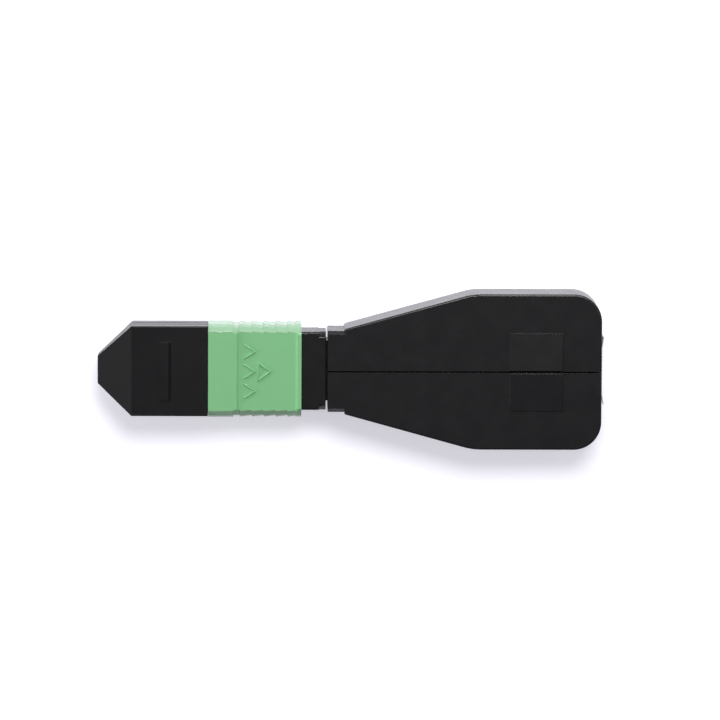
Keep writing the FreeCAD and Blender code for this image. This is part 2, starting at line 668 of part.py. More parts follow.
def tube(label, route, heading, diameter, sides):
    """Round stock along a route of short straight runs, as a prism of a few sides."""
    across = heading.cross(alongZ if abs(heading.z) < abs(heading.x) else alongX).normalize()
    up = heading.cross(across).normalize()
    corners = []
    for number in range(sides + 1):
        angle = 2 * math.pi * number / sides
        corners.append(route[0] + (across * math.cos(angle) + up * math.sin(angle)) * diameter / 2)
    section = Part.makePolygon(corners)
    spine = Part.makePolygon(route)
    piece = doc.addObject("Part::Feature", label)
    mitred = 1  # transition at the route's corners
    piece.Shape = spine.makePipeShell([section], True, False, mitred)
    expected = Part.Face(section).Area * spine.Length
    if abs(piece.Shape.Volume / expected - 1) > 0.01:
        raise RuntimeError(f"{label} isn't a tube of its own length")
    place(piece)
    return piece


def coil(label, start, end, width, height, across, turns, wire, sides):
    """Compression spring along X between two stations. Its turns are ovals or circles."""
    front = value(f"{start} + {wire} / 2")
    reach = value(f"{end} - {wire} / 2") - front
    halfWidth = value(f"({width} - {wire}) / 2")
    halfHeight = value(f"({height} - {wire}) / 2")
    steps = round(value(turns)) * turnRuns
    route = []
    for step in range(steps + 1):
        angle = 2 * math.pi * step / turnRuns
        route.append(Vector(front + reach * step / steps,
                            value(across) + halfWidth * math.cos(angle),
                            halfHeight * math.sin(angle)))
    return tube(label, route, route[1] - route[0], value(wire), sides)


def couplingSpring(label, side):
    start = f"({grooveStart} + lugLength + slideClearance)"
    end = f"({grooveStart} + {grooveLength} - slideClearance)"
    return coil(label, start, end, "couplingDiameter", "couplingDiameter",
                f"{side}({plugWidth} / 2 - couplingDiameter / 2)", "couplingTurns",
                "couplingWire", couplingSides)


def mainSpring():
    return coil("main_spring", f"({bossStart} + snugClearance)", f"({pushStart} - snugClearance)",
                coilWidth, coilHeight, "0", "mainTurns", "mainWire", mainSides)


def fibreLoop(number):
    """One fibre: out of the ferrule, round a teardrop in the bay, and back to its mirror place."""
    offset = (number - 0.5) * value("fibrePitch")
    outermost = value("fullWidth / 2 - shellWall - loopSide")
    radius = outermost - (fibrePairs - number) * value("loopStep")
    centre = value(f"{bayEnd} - loopRear") - outermost
    flare = math.radians(value("loopFlare"))
    bend = value("flareRadius")
    rise, run = math.sin(flare), math.cos(flare)
    tangent = Vector(centre - radius * rise, radius * run, 0)
    straight = (radius * run - offset - bend * (1 - run)) / rise
    bendEnd = tangent - Vector(run, rise, 0) * straight
    bendStart = bendEnd - Vector(bend * rise, bend * (1 - run), 0)
    bendMiddle = bendStart + Vector(bend * math.sin(flare / 2), bend * (1 - math.cos(flare / 2)), 0)
    start = Vector(value(f"{ferruleRear} - ribbonDepth + 2 * slideClearance"), offset, 0)

    def mirrored(point):
        return Vector(point.x, -point.y, point.z)

    line = Part.Wire([
        Part.LineSegment(start, bendStart).toShape(),
        Part.Arc(bendStart, bendMiddle, bendEnd).toShape(),
        Part.LineSegment(bendEnd, tangent).toShape(),
        Part.Arc(tangent, Vector(centre + radius, 0, 0), mirrored(tangent)).toShape(),
        Part.LineSegment(mirrored(tangent), mirrored(bendEnd)).toShape(),
        Part.Arc(mirrored(bendEnd), mirrored(bendMiddle), mirrored(bendStart)).toShape(),
        Part.LineSegment(mirrored(bendStart), mirrored(start)).toShape()])
    route = line.discretize(QuasiDeflection=value("fibreDiameter") / fibreRuns)
    return tube(f"fibre_loop_{number}", route, alongX, value("fibreDiameter"), fibreSides)


fibrePairs = round(value("fibreCount")) // 2
pieces = [dustCap(), couplingSleeve(), plugHousing(), ferrule(), ferruleBoot(), pinClamp(),
          mainSpring(), springPush(), shell("shell_left", ""), shell("shell_right", "-"),
          sealLabel(), couplingSpring("coupling_spring_left", ""),
          couplingSpring("coupling_spring_right", "-")]
pieces += [fibreLoop(number) for number in range(1, fibrePairs + 1)]
doc.recompute()

for item in doc.Objects:
    if "Invalid" in item.State or "Error" in item.State:
        raise RuntimeError(f"{item.Name} failed: {item.State}")
for piece in pieces:
    if piece.Shape.isNull() or not piece.Shape.isValid() or not piece.Shape.Solids:
        raise RuntimeError(f"{piece.Label} isn't a valid solid")

os.makedirs("parts", exist_ok=True)
for piece in pieces:
    piece.Shape.exportStep(f"parts/{piece.Label}.step")
    print(piece.Label, len(piece.Shape.Solids), round(piece.Shape.Volume, 2))
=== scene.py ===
import json
import math
import bmesh
import bpy
from mathutils import Matrix, Vector


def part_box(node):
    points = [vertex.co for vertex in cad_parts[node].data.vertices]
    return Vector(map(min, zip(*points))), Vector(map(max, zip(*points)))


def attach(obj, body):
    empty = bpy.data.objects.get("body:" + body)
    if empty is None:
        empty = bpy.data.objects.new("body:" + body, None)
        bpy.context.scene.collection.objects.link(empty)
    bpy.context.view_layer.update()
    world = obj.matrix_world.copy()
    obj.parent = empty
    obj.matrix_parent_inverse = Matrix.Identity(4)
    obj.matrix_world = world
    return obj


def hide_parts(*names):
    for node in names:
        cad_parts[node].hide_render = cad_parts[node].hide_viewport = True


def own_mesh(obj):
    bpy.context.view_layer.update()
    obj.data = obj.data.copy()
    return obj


# A loopback plug with its dust cap. The plug lies on a wide face, with the cap's tip at -X, and the
# camera looks down on it. Lengths are in metres, and mm turns millimetres into them.
mm = 0.001
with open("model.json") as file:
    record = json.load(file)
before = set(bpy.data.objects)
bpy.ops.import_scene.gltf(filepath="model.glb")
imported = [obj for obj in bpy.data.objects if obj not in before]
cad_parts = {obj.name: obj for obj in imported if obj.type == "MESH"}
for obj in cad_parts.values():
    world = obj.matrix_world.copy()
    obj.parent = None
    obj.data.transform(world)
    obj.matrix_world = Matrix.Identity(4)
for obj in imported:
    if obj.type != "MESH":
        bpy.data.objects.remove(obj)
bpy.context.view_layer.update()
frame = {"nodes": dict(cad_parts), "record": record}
nodes = frame["nodes"]
print("frame:", len(nodes), "nodes")

evenly = (1, 1, 1)  # a pattern that isn't stretched
noiseRoughness = 0.55  # share of each finer layer of a noise


class Signal:  # a node's output that takes part in arithmetic
    def __init__(self, finish, socket):
        self.finish = finish
        self.socket = socket

    def maths(self, operation, first, second):
        return self.finish.node("ShaderNodeMath", {"operation": operation}, {0: first, 1: second})

    def __add__(self, other):
        return self.maths("ADD", self, other)

    def __radd__(self, other):
        return self.maths("ADD", other, self)

    def __sub__(self, other):
        return self.maths("SUBTRACT", self, other)

    def __rsub__(self, other):
        return self.maths("SUBTRACT", other, self)

    def __mul__(self, other):
        return self.maths("MULTIPLY", self, other)

    def __rmul__(self, other):
        return self.maths("MULTIPLY", other, self)


class Finish:  # one material with its nodes
    def __init__(self, name, fixed):
        self.material = bpy.data.materials.new(name)
        self.material.use_nodes = True
        self.tree = self.material.node_tree
        self.shader = self.tree.nodes["Principled BSDF"]
        for socket, amount in fixed.items():
            self.shader.inputs[socket].default_value = amount
        self.place = self.node("ShaderNodeTexCoord", {}, {}, "Object")

    def node(self, kind, settings, inputs, output=0):
        made = self.tree.nodes.new(kind)
        for name, setting in settings.items():
            setattr(made, name, setting)
        for socket, item in inputs.items():
            if isinstance(item, Signal):
                self.tree.links.new(item.socket, made.inputs[socket])
            else:
                made.inputs[socket].default_value = item
        return Signal(self, made.outputs[output])

    def noise(self, grain, detail=2.0, stretch=evenly):  # 0 to 1, with lumps of that size
        place = self.node("ShaderNodeMapping", {}, {"Vector": self.place, "Scale": stretch})
        return self.node("ShaderNodeTexNoise", {}, {
            "Vector": place, "Scale": 1 / grain, "Detail": detail, "Roughness": noiseRoughness})

    def sides(self, station, reach):  # 1 ahead of that X and past that Y to either side
        along = self.node("ShaderNodeSeparateXYZ", {}, {0: self.place})
        across = self.node("ShaderNodeSeparateXYZ", {}, {0: self.place}, 1)
        across = self.node("ShaderNodeMath", {"operation": "ABSOLUTE"}, {0: across})
        ahead = self.node("ShaderNodeMath", {"operation": "LESS_THAN"}, {0: along, 1: station})
        past = self.node("ShaderNodeMath", {"operation": "GREATER_THAN"}, {0: across, 1: reach})
        return ahead * past

    def blend(self, factor, first, second):
        return self.node("ShaderNodeMix", {"data_type": "RGBA"},
                         {0: factor, 6: first, 7: second}, 2)

    def feed(self, socket, signal):
        self.tree.links.new(signal.socket, self.shader.inputs[socket])

    def relief(self, height):  # height in millimetres
        self.feed("Normal", self.node("ShaderNodeBump", {}, {
            "Strength": 1.0, "Distance": mm, "Height": height}))


def rgb(red, green, blue):
    return (red, green, blue, 1.0)


# Moulded plastics share one recipe: a fine spark-eroded grain and a slow change of tone. Relief is
# in millimetres.
plastics = {
    "shellBlack": {"dark": rgb(0.0085, 0.0083, 0.0096), "light": rgb(0.0118, 0.0115, 0.0131),
                   "patch": 2.6 * mm, "grain": 0.16 * mm, "relief": 0.004,
                   "rough": 0.25, "spread": 0.10},
    "capBlack": {"dark": rgb(0.0050, 0.0049, 0.0060), "light": rgb(0.0072, 0.0070, 0.0084),
                 "patch": 3.4 * mm, "grain": 0.13 * mm, "relief": 0.003,
                 "rough": 0.29, "spread": 0.08},
    "pushBlack": {"dark": rgb(0.0078, 0.0076, 0.0089), "light": rgb(0.0104, 0.0102, 0.0117),
                  "patch": 2.0 * mm, "grain": 0.14 * mm, "relief": 0.004,
                  "rough": 0.25, "spread": 0.10},
    "sleeveGreen": {"dark": rgb(0.205, 0.490, 0.232), "light": rgb(0.232, 0.532, 0.262),
                    "patch": 3.0 * mm, "grain": 0.15 * mm, "relief": 0.003,
                    "rough": 0.19, "spread": 0.08},
    "housingGreen": {"dark": rgb(0.180, 0.450, 0.205), "light": rgb(0.205, 0.495, 0.235),
                     "patch": 2.4 * mm, "grain": 0.12 * mm, "relief": 0.0035,
                     "rough": 0.40, "spread": 0.08},
    "clampWhite": {"dark": rgb(0.55, 0.55, 0.52), "light": rgb(0.64, 0.64, 0.61),
                   "patch": 1.5 * mm, "grain": 0.12 * mm, "relief": 0.004,
                   "rough": 0.5, "spread": 0.08},
    "bootRubber": {"dark": rgb(0.016, 0.016, 0.017), "light": rgb(0.026, 0.026, 0.027),
                   "patch": 1.0 * mm, "grain": 0.09 * mm, "relief": 0.008,
                   "rough": 0.75, "spread": 0.12},
}
recipe = {"refraction": 1.48, "patchDetail": 3.0, "grainDetail": 1.0,
          "patchTone": 0.6, "grainTone": 0.4, "grainSpread": 0.5}  # what they share

# The narrow sides have a coarser grain than the rest: ahead of that X, and past that Y. The
# sleeve's narrow sides are also painted a paler green, a painted sheen.
collarLength = 2.25 * mm
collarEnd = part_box("shell_left")[0].x + collarLength
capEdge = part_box("dust_cap")[1].y - 0.16 * mm
coarse = {
    "shellBlack": {"grain": 0.22 * mm, "relief": 0.06, "past": 5.0 * mm, "stretch": evenly,
                   "paintedSheen": None},
    "pushBlack": {"grain": 0.22 * mm, "relief": 0.06, "past": 5.0 * mm, "stretch": evenly,
                  "paintedSheen": None},
    "capBlack": {"grain": 0.25 * mm, "relief": 0.012, "past": capEdge, "stretch": (0.12, 1, 1),
                 "paintedSheen": None},
    "sleeveGreen": {"grain": 0.17 * mm, "relief": 0.035, "past": 5.3 * mm, "stretch": evenly,
                    "paintedSheen": rgb(0.280, 0.466, 0.302)},
}


def plastic(name):
    look = plastics[name]
    finish = Finish(name, {"IOR": recipe["refraction"]})
    patches = finish.noise(look["patch"], recipe["patchDetail"])
    grain = finish.noise(look["grain"], recipe["grainDetail"])
    tone = recipe["patchTone"] * patches + recipe["grainTone"] * grain
    colour = finish.blend(tone, look["dark"], look["light"])
    height = look["relief"] * grain
    if name in coarse:
        side = coarse[name]
        where = finish.sides(collarEnd, side["past"])
        lumps = finish.noise(side["grain"], recipe["grainDetail"], side["stretch"])
        height = height + side["relief"] * lumps * where
        # The sleeve's narrow sides get a paler green painted on: a painted sheen, not the plastic's
        # own colour.
        if side["paintedSheen"]:
            colour = finish.blend(where, colour, side["paintedSheen"])
    finish.feed("Base Color", colour)
    finish.feed("Roughness", look["rough"] + look["spread"] * (patches - 0.5)
                + recipe["grainSpread"] * look["spread"] * grain)
    finish.relief(height)
    return finish.material


# Glass-filled plastic, with short pale fibres in it.
ferruleLook = {"dark": rgb(0.030, 0.027, 0.025), "light": rgb(0.105, 0.098, 0.090),
               "fleck": 0.05 * mm, "fleckDetail": 1.0, "stretch": (0.25, 1, 1), "cloud": 0.8 * mm,
               "rough": 0.22, "spread": 0.2, "relief": 0.001, "refraction": 1.55}


def ferrulePlastic():
    finish = Finish("ferrulePlastic", {"IOR": ferruleLook["refraction"]})
    flecks = finish.noise(ferruleLook["fleck"], ferruleLook["fleckDetail"], ferruleLook["stretch"])
    clouds = finish.noise(ferruleLook["cloud"])
    finish.feed("Base Color", finish.blend(flecks, ferruleLook["dark"], ferruleLook["light"]))
    finish.feed("Roughness", ferruleLook["rough"] + ferruleLook["spread"] * clouds)
    finish.relief(ferruleLook["relief"] * flecks)
    return finish.material


steelLook = {"dark": rgb(0.50, 0.50, 0.50), "light": rgb(0.66, 0.655, 0.64), "draw": 0.08 * mm,
             "drawDetail": 3.0, "rough": 0.22, "spread": 0.16, "relief": 0.0012}


def springSteel():
    finish = Finish("springSteel", {"Metallic": 1.0})
    draw = finish.noise(steelLook["draw"], steelLook["drawDetail"])
    finish.feed("Base Color", finish.blend(draw, steelLook["dark"], steelLook["light"]))
    finish.feed("Roughness", steelLook["rough"] + steelLook["spread"] * draw)
    finish.relief(steelLook["relief"] * draw)
    return finish.material


coatingLook = {"dark": rgb(0.62, 0.50, 0.14), "light": rgb(0.78, 0.66, 0.22), "patch": 1.6 * mm,
               "rough": 0.25, "spread": 0.1, "refraction": 1.5, "coat": 0.4, "coatRough": 0.1}


def fibreCoating():
    finish = Finish("fibreCoating", {"IOR": coatingLook["refraction"],
                                     "Coat Weight": coatingLook["coat"],
                                     "Coat Roughness": coatingLook["coatRough"]})
    tone = finish.noise(coatingLook["patch"])
    finish.feed("Base Color", finish.blend(tone, coatingLook["dark"], coatingLook["light"]))
    finish.feed("Roughness", coatingLook["rough"] + coatingLook["spread"] * tone)
    return finish.material


# Polished fibre ends, bright against the ferrule.
glassLook = {"dark": rgb(0.55, 0.58, 0.60), "light": rgb(0.75, 0.78, 0.80), "patch": 0.05 * mm,
             "rough": 0.08, "spread": 0.06, "refraction": 1.46}


def fibreGlass():
    finish = Finish("fibreGlass", {"IOR": glassLook["refraction"]})
    tone = finish.noise(glassLook["patch"])
    finish.feed("Base Color", finish.blend(tone, glassLook["dark"], glassLook["light"]))
    finish.feed("Roughness", glassLook["rough"] + glassLook["spread"] * tone)
    return finish.material


filmLook = {"dark": rgb(0.50, 0.49, 0.49), "light": rgb(0.60, 0.59, 0.585), "ripple": 0.9 * mm,
            "rippleDetail": 2.0, "stretch": (1, 1, 0.4), "rough": 0.3, "spread": 0.12,
            "relief": 0.01, "refraction": 1.5, "coat": 0.5, "coatRough": 0.08}


def labelFilm():
    finish = Finish("labelFilm", {"IOR": filmLook["refraction"], "Coat Weight": filmLook["coat"],
                                  "Coat Roughness": filmLook["coatRough"]})
    ripple = finish.noise(filmLook["ripple"], filmLook["rippleDetail"], filmLook["stretch"])
    finish.feed("Base Color", finish.blend(ripple, filmLook["dark"], filmLook["light"]))
    finish.feed("Roughness", filmLook["rough"] + filmLook["spread"] * ripple)
    finish.relief(filmLook["relief"] * ripple)
    return finish.material


looks = {name: plastic(name) for name in plastics}
for maker in (ferrulePlastic, springSteel, fibreCoating, fibreGlass, labelFilm):
    looks[maker.__name__] = maker()
print("finishes:", len(looks))


# How a solid's loose triangles become one skin, and which of its edges are rounded.
# Angles are in degrees.
skinning = {"weld": 0.0005 * mm, "flat": 0.6, "sharp": 28, "shadingWeight": 80}
squareOn = 0.5  # least share of its normal along an axis for a face that counts as facing it


def mergedCopy(node):  # a CAD node's faces in one skin, with its flat faces whole again
    skin = bmesh.new()
    skin.from_mesh(nodes[node].data)
    bmesh.ops.remove_doubles(skin, verts=skin.verts, dist=skinning["weld"])
    bmesh.ops.dissolve_limit(skin, angle_limit=math.radians(skinning["flat"]),
                             use_dissolve_boundaries=False, verts=skin.verts, edges=skin.edges,
                             delimit=set())
    return skin


def sharpEdges(skin):
    limit = math.radians(skinning["sharp"])
    return [edge for edge in skin.edges if edge.is_manifold and edge.calc_face_angle() > limit]


def roundEdges(skin, width, segments, edges):
    bmesh.ops.bevel(skin, geom=edges, offset=width, offset_type="OFFSET", segments=segments,
                    profile=0.5, affect="EDGES", clamp_overlap=True, material=-1)


def asObject(skin, name, look):
    mesh = bpy.data.meshes.new(name)
    skin.to_mesh(mesh)
    skin.free()
    mesh.shade_smooth()
    piece = bpy.data.objects.new(name, mesh)
    bpy.context.scene.collection.objects.link(piece)
    mesh.materials.append(looks[look])
    normals = piece.modifiers.new("Even shading", "WEIGHTED_NORMAL")
    normals.weight = skinning["shadingWeight"]
    return piece


def fit(piece, body, slot, *replaced):
    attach(piece, body)
    if replaced:
        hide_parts(*replaced)


behaviour = frame["record"]["behaviour"]
bodyOf = {node: body for body, members in behaviour["bodies"].items() for node in members}
travelOf = {joint["name"]: max(joint["range_m"]) for joint in behaviour["joints"]}


# Rigid pieces keep the form of their solid, with moulded edges.
moulded = {
    "dust_cap": {"edge": 0.12 * mm, "segments": 3, "look": "capBlack", "slot": "black_cap"},
    "coupling_sleeve": {"edge": 0.07 * mm, "segments": 2, "look": "sleeveGreen",
                        "slot": "green_sleeve"},
    "plug_housing": {"edge": 0.06 * mm, "segments": 2, "look": "housingGreen",
                     "slot": "green_housing"},
    "mt_ferrule": {"edge": 0.03 * mm, "segments": 2, "look": "ferrulePlastic",
                   "slot": "ferrule_plastic"},
    "ferrule_boot": {"edge": 0.05 * mm, "segments": 2, "look": "bootRubber", "slot": "boot_rubber"},
    "pin_clamp": {"edge": 0.04 * mm, "segments": 2, "look": "clampWhite", "slot": "clamp_plastic"},
    "spring_push": {"edge": 0.08 * mm, "segments": 2, "look": "pushBlack", "slot": "black_push"},
    "shell_left": {"edge": 0.06 * mm, "segments": 2, "look": "shellBlack", "slot": "black_body"},
    "shell_right": {"edge": 0.06 * mm, "segments": 2, "look": "shellBlack", "slot": "black_body"},
    "seal_label": {"edge": 0.02 * mm, "segments": 2, "look": "labelFilm", "slot": "label_film"},
}

# The joint line between the shells: each half gives way by the gap, as deep as the skin, where it
# touches the other.
seam = {"gap": 0.06 * mm, "skin": 0.8 * mm, "touch": 0.002 * mm}


def openSeam(skin, front, back):  # the halves part at their outside and still meet within
    side = 1 if back.y > -front.y else -1
    outer = [corner for corner in skin.verts if abs(corner.co.y) < seam["touch"]
             and (min(corner.co.z - front.z, back.z - corner.co.z) < seam["skin"]
                  or back.x - corner.co.x < seam["skin"])]
    bmesh.ops.translate(skin, verts=outer, vec=(0, side * seam["gap"], 0))


# The pads at the rear of the shells: their rise, the part of it that counts as their top, and
# the slope along their edges.
pads = {"rise": 0.25 * mm, "top": 0.8, "slope": 0.09 * mm}


def slopePads(skin, back):
    floor = back.z - pads["top"] * pads["rise"]
    rims = [edge for edge in skin.edges if all(corner.co.z > floor for corner in edge.verts)]
    roundEdges(skin, pads["slope"], 1, rims)


# Two grooves along each narrow side of the cap. A corner that lies this near to a cut is on it.
grooves = {"apart": 2.0 * mm, "height": 0.5 * mm, "depth": 0.14 * mm, "onCut": 0.0001 * mm}


def grooveSides(skin, front, back):
    middle = (front.z + back.z) / 2
    for level in (-1, 1):
        centre = middle + level * grooves["apart"] / 2
        for edge in (-1, 1):
            cut = Vector((0, 0, centre + edge * grooves["height"] / 2))
            bmesh.ops.bisect_plane(skin, geom=skin.verts[:] + skin.edges[:] + skin.faces[:],
                                   plane_co=cut, plane_no=(0, 0, 1), dist=grooves["onCut"])
        strip = [face for face in skin.faces
                 if abs(face.calc_center_median().z - centre) < grooves["height"] / 2
                 and abs(face.normal.y) > squareOn
                 and face.normal.y * face.calc_center_median().y > 0
                 and all(abs(corner.co.z - centre) < grooves["height"] for corner in face.verts)]
        bmesh.ops.inset_region(skin, faces=strip, thickness=0, depth=-grooves["depth"],
                               use_even_offset=True)


# The long edges where the sleeve's wide faces turn into its narrow ones: their rounding, the
# degrees that they turn by, and how far they lie from the side at most.
shoulders = {"round": 0.26 * mm, "segments": 3, "least": 18, "most": 55, "shortest": 0.25 * mm,
             "reach": 1.2 * mm, "straight": 0.01 * mm}


def roundShoulders(skin, back):
    least, most = math.radians(shoulders["least"]), math.radians(shoulders["most"])
    side = back.y - shoulders["reach"]
    chosen = []
    for edge in skin.edges:
        first, last = (corner.co for corner in edge.verts)
        if (edge.is_manifold and edge.is_convex and least < edge.calc_face_angle() < most
                and edge.calc_length() > shoulders["shortest"] and abs(first.y) > side
                and abs(first.y - last.y) < shoulders["straight"]
                and abs(first.z - last.z) < shoulders["straight"]):
            chosen.append(edge)
    roundEdges(skin, shoulders["round"], shoulders["segments"], chosen)


# Sloped steps across the wide faces. Each has its distance from the piece's front, the depth of the
# corners that move, and how far they move along X.
steps = {
    "dust_cap": [{"station": 9.67 * mm, "depth": 0.25 * mm, "shift": 0.35 * mm}],
    "coupling_sleeve": [{"station": 4.1 * mm, "depth": 0, "shift": -0.21 * mm},
                        {"station": 11.85 * mm, "depth": 0, "shift": 0.3 * mm}],
}
stepReach = 0.02 * mm  # how near to its station and depth a corner lies


def slopeSteps(skin, front, back, rows):
    for row in rows:
        moved = []
        for corner in skin.verts:
            depth = min(back.z - corner.co.z, corner.co.z - front.z)
            if (abs(corner.co.x - front.x - row["station"]) < stepReach
                    and abs(depth - row["depth"]) < stepReach):
                moved.append(corner)
        walls = [face for face in skin.faces if abs(face.normal.x) > squareOn
                 and any(corner in moved for corner in face.verts)]
        bmesh.ops.translate(skin, verts=moved, vec=(row["shift"], 0, 0))
        bmesh.ops.triangulate(skin, faces=walls)


for node, look in moulded.items():
    skin = mergedCopy(node)
    front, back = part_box(node)
    if node in ("shell_left", "shell_right"):
        openSeam(skin, front, back)
        slopePads(skin, back)
    if node == "dust_cap":
        grooveSides(skin, front, back)
    slopeSteps(skin, front, back, steps.get(node, []))
    if node == "coupling_sleeve":
        roundShoulders(skin, back)
    roundEdges(skin, look["edge"], look["segments"], sharpEdges(skin))
    piece = asObject(skin, node + "_shown", look["look"])
    fit(piece, bodyOf[node], look["slot"], node)
    print(node, len(piece.data.polygons), "faces")

# Wires and fibres are round.
wires = {
    "main_spring": {"look": "springSteel", "slot": "spring_steel", "swell": 0.012 * mm,
                    "joint": "ferrule_slide"},
    "coupling_spring": {"look": "springSteel", "slot": "spring_steel", "swell": 0.011 * mm,
                        "joint": "sleeve_slide"},
    "fibre_loop": {"look": "fibreCoating", "slot": "fibre_coating", "swell": 0.012 * mm,
                   "joint": None},
}


def smoothWire(node, look):
    skin = mergedCopy(node)
    for corner in skin.verts:
        corner.co += look["swell"] * corner.normal
    piece = asObject(skin, node + "_shown", look["look"])
    piece.modifiers.clear()
    rounder = piece.modifiers.new("Round wire", "SUBSURF")
    rounder.levels = rounder.render_levels = 1
    fit(piece, bodyOf[node], look["slot"], node)
    if look["joint"]:
        front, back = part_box(node)
        1 - travelOf[look["joint"]] / (back.x - front.x)
        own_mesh(piece)


for node in nodes:
    for start, look in wires.items():
        if node.startswith(start):
            smoothWire(node, look)
print("springs and fibres")

# The row of fibres, polished flush with the ferrule's angled end face.
fibreEnds = {"count": 12, "pitch": 0.25 * mm, "radius": 0.0625 * mm, "taper": 0.8,
             "proud": 0.006 * mm, "sides": 16, "endFace": 0.5 * mm, "facing": -0.9}


def fibreRow():
    front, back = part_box("mt_ferrule")
    ferrule = mergedCopy("mt_ferrule")
    leading = next(face for face in ferrule.faces if face.normal.x < fibreEnds["facing"]
                   and face.calc_center_median().x < front.x + fibreEnds["endFace"])
    normal = leading.normal.copy()
    point = leading.verts[0].co.copy()
    ferrule.free()
    row = bmesh.new()
    turn = normal.to_track_quat("Z", "Y").to_matrix().to_4x4()
    z = (front.z + back.z) / 2
    for k in range(fibreEnds["count"]):
        y = (k - (fibreEnds["count"] - 1) / 2) * fibreEnds["pitch"]
        x = point.x - (normal.y * (y - point.y) + normal.z * (z - point.z)) / normal.x
        bmesh.ops.create_cone(row, cap_ends=True, segments=fibreEnds["sides"],
                              radius1=fibreEnds["radius"],
                              radius2=fibreEnds["taper"] * fibreEnds["radius"],
                              depth=2 * fibreEnds["proud"],
                              matrix=Matrix.Translation((x, y, z)) @ turn)
    fit(asObject(row, "fibre_ends", "fibreGlass"), "ferrule", "fibre_coating")


fibreRow()
print("fibre ends")

# Raised marks on the sleeve's sunk band, which point the way it is pulled: three chevrons and an
# arrow. Distances along X are from the sleeve's front.
marks = {
    "rise": 0.15 * mm,
    "root": 0.1 * mm,  # of the marks inside the sleeve
    "edge": 0.05 * mm,
    "edgeSegments": 2,
    "sunk": 0.2 * mm,
    "line": 0.24 * mm,
    "chevronStart": 4.75 * mm,
    "chevronLength": 1.45 * mm,
    "chevronWidth": 1.9 * mm,
    "chevronLine": 1.3,  # the chevrons' line along X, as a share of the line
    "chevronPitch": 2.7 * mm,
    "chevrons": 3,
    "arrowStart": 6.66 * mm,
    "arrowLength": 1.95 * mm,
    "arrowWidth": 2.8 * mm,
}


def raised(name, outlines):  # bars with these outlines, each a list of corners, on the band
    front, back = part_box("coupling_sleeve")
    level = back.z - marks["sunk"] - marks["root"]
    skin = bmesh.new()
    for corners in outlines:
        skin.faces.new([skin.verts.new((front.x + x, y, level)) for x, y in corners])
    walls = bmesh.ops.extrude_face_region(skin, geom=skin.faces[:])
    lifted = [item for item in walls["geom"] if isinstance(item, bmesh.types.BMVert)]
    bmesh.ops.translate(skin, verts=lifted, vec=(0, 0, marks["root"] + marks["rise"]))
    bmesh.ops.recalc_face_normals(skin, faces=skin.faces)
    roundEdges(skin, marks["edge"], marks["edgeSegments"], sharpEdges(skin))
    fit(asObject(skin, name, "sleeveGreen"), "sleeve", "green_sleeve")


def chevron(middle):
    near, half = marks["chevronStart"], marks["chevronWidth"] / 2
    line = marks["chevronLine"] * marks["line"]
    tip = near + marks["chevronLength"]
    return [(near, middle - half), (near + line, middle - half), (tip + line, middle),
            (near + line, middle + half), (near, middle + half), (tip, middle)]


def arrowSides():  # the three sides of a triangle's outline, of one width
    near, far, half = marks["arrowStart"], marks["arrowLength"], marks["arrowWidth"] / 2
    outer = [Vector((near, -half)), Vector((near + far, 0)), Vector((near, half))]
    inradius = half * far / (half + math.hypot(far, half))
    centre = Vector((near + inradius, 0))
    inner = [centre.lerp(corner, 1 - marks["line"] / inradius) for corner in outer]
    for k in range(len(outer)):
        following = (k + 1) % len(outer)
        yield [outer[k], outer[following], inner[following], inner[k]]


outermost = -(marks["chevrons"] - 1) / 2
raised("pull_chevrons", [chevron((outermost + k) * marks["chevronPitch"])
                         for k in range(marks["chevrons"])])
raised("pull_arrow", arrowSides())
print("sleeve marks")

# Stage: a white table that keeps the plug's shadow, and a pale room with a dim ceiling.
stage = {"table": 3.0, "drop": 0.02 * mm, "tableTone": rgb(0.71, 0.70, 0.745), "rough": 0.9,
         "glow": 0.56, "glowTint": rgb(0.93, 0.915, 1.0), "whiteFrom": 0.12, "whiteTo": 0.3}


def tableWhite():
    finish = Finish("tableWhite", {"Base Color": stage["tableTone"], "Roughness": stage["rough"],
                                   "Specular IOR Level": 0.0})
    body = Signal(finish, finish.shader.outputs[0])
    seen = finish.node("ShaderNodeLightPath", {}, {}, "Is Camera Ray")
    mirrored = finish.node("ShaderNodeLightPath", {}, {}, "Is Glossy Ray")
    rays = finish.node("ShaderNodeMath", {"operation": "MAXIMUM"}, {0: seen, 1: mirrored})
    glow = finish.node("ShaderNodeEmission", {}, {
        "Color": stage["glowTint"], "Strength": stage["glow"]})
    both = finish.node("ShaderNodeAddShader", {}, {0: body, 1: glow})
    near = finish.node("ShaderNodeMixShader", {}, {0: rays, 1: body, 2: both})
    # Far from the plug the table is white to the camera.
    away = finish.node("ShaderNodeVectorMath", {"operation": "LENGTH"}, {0: finish.place}, "Value")
    share = finish.node("ShaderNodeMapRange", {"interpolation_type": "SMOOTHSTEP"}, {
        "Value": away, "From Min": stage["whiteFrom"], "From Max": stage["whiteTo"]})
    white = finish.node("ShaderNodeEmission", {}, {"Strength": 1.0})
    mixed = finish.node("ShaderNodeMixShader", {}, {0: share * seen, 1: near, 2: white})
    output = finish.tree.nodes["Material Output"]
    finish.tree.links.new(mixed.socket, output.inputs["Surface"])
    return finish.material


def layTable():
    looks["tableWhite"] = tableWhite()
    skin = bmesh.new()
    bmesh.ops.create_grid(skin, x_segments=1, y_segments=1, size=stage["table"],
                          matrix=Matrix.Translation((0, 0, -stage["drop"])))
    asObject(skin, "table", "tableWhite")


# The room's tone by height: the sine of the height, then the tone. It falls off away from the
# light.
room = {"levels": ((0.0, 0.40), (0.5, 0.30), (0.8, 0.20), (1.0, 0.20)),
        "dark": -0.3, "bright": 0.1, "floor": 0.12, "toLight": (-0.35, 0.94, 0.0)}


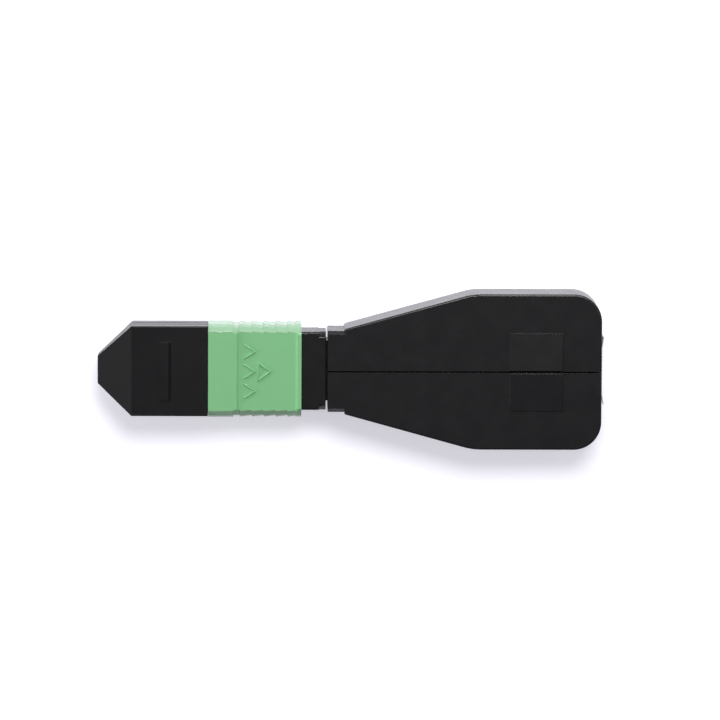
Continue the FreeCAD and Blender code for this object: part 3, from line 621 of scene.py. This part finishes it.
def paleRoom():
    world = bpy.data.worlds.new("room")
    bpy.context.scene.world = world
    world.use_nodes = True
    tree = world.node_tree
    back = tree.nodes["Background"]
    place = tree.nodes.new("ShaderNodeTexCoord")
    split = tree.nodes.new("ShaderNodeSeparateXYZ")
    tree.links.new(place.outputs["Generated"], split.inputs[0])
    ramp = tree.nodes.new("ShaderNodeValToRGB")
    tree.links.new(split.outputs["Z"], ramp.inputs[0])
    stops = ramp.color_ramp.elements
    stops.remove(stops[1])
    for height, tone in room["levels"]:
        stops.new(height).color = (tone, tone, tone, 1)
    stops.remove(stops[0])
    front = tree.nodes.new("ShaderNodeMapRange")
    front.interpolation_type = "SMOOTHSTEP"
    facing = tree.nodes.new("ShaderNodeVectorMath")
    facing.operation = "DOT_PRODUCT"
    tree.links.new(place.outputs["Generated"], facing.inputs[0])
    facing.inputs[1].default_value = room["toLight"]
    tree.links.new(facing.outputs["Value"], front.inputs["Value"])
    front.inputs["From Min"].default_value = room["dark"]
    front.inputs["From Max"].default_value = room["bright"]
    front.inputs["To Min"].default_value = room["floor"]
    # The camera sees the room as plain white.
    rays = tree.nodes.new("ShaderNodeLightPath")
    colour = tree.nodes.new("ShaderNodeMix")
    colour.data_type = "RGBA"
    colour.inputs[7].default_value = rgb(1, 1, 1)
    tree.links.new(rays.outputs["Is Camera Ray"], colour.inputs[0])
    tree.links.new(ramp.outputs[0], colour.inputs[6])
    tree.links.new(colour.outputs[2], back.inputs["Color"])
    strength = tree.nodes.new("ShaderNodeMath")
    strength.operation = "MAXIMUM"
    tree.links.new(rays.outputs["Is Camera Ray"], strength.inputs[0])
    tree.links.new(front.outputs[0], strength.inputs[1])
    tree.links.new(strength.outputs[0], back.inputs["Strength"])


# Each lamp has its direction from the plug as azimuth and height in degrees, its distance, its
# width and height, its watts, and whether glossy surfaces mirror it.
lamps = {
    "back": {"azimuth": 92, "height": 12, "far": 0.6, "size": (0.26, 0.18), "watts": 1.6,
             "mirrored": False},
    "top": {"azimuth": 80, "height": 61, "far": 0.6, "size": (0.30, 0.24), "watts": 2.62,
            "mirrored": True},
    "left": {"azimuth": 180, "height": 10, "far": 0.6, "size": (0.2, 0.16), "watts": 2.0,
             "mirrored": False},
    "nose": {"azimuth": 180, "height": 36, "far": 0.6, "size": (0.3, 0.3), "watts": 0.075,
             "mirrored": True},
    "right": {"azimuth": 20, "height": 42, "far": 0.6, "size": (0.3, 0.3), "watts": 0.2,
              "mirrored": True},
}


def softLamps():
    for name, lamp in lamps.items():
        light = bpy.data.lights.new(name, "AREA")
        light.shape = "ELLIPSE"
        light.size, light.size_y = lamp["size"]
        light.energy = lamp["watts"]
        azimuth, height = math.radians(lamp["azimuth"]), math.radians(lamp["height"])
        toward = Vector((math.cos(azimuth) * math.cos(height),
                         math.sin(azimuth) * math.cos(height), math.sin(height)))
        holder = bpy.data.objects.new(name, light)
        holder.visible_glossy = lamp["mirrored"]
        holder.matrix_world = (Matrix.Translation(toward * lamp["far"])
                               @ toward.to_track_quat("Z", "Y").to_matrix().to_4x4())
        bpy.context.scene.collection.objects.link(holder)


# The camera stands above its aim, this far from it, and is turned by these degrees.
eye = {"lens": 293.5, "far": 0.8, "tilt": 6.3, "swing": 1.0, "roll": 0.14,
       "aim": (1.28 * mm, 1.19 * mm, 4.0 * mm), "clip": (0.01, 20)}


def placeCamera():
    camera = bpy.data.cameras.new("camera")
    camera.lens = eye["lens"]
    camera.clip_start, camera.clip_end = eye["clip"]
    holder = bpy.data.objects.new("camera", camera)
    turn = (Matrix.Rotation(math.radians(-eye["tilt"]), 4, "X")
            @ Matrix.Rotation(math.radians(-eye["swing"]), 4, "Y")
            @ Matrix.Rotation(math.radians(eye["roll"]), 4, "Z"))
    holder.matrix_world = (Matrix.Translation(eye["aim"]) @ turn
                           @ Matrix.Translation((0, 0, eye["far"])))
    bpy.context.scene.collection.objects.link(holder)
    bpy.context.scene.camera = holder


layTable()
paleRoom()
softLamps()
placeCamera()
bpy.context.scene.view_settings.view_transform = "Standard"
print("stage, lamps and camera")
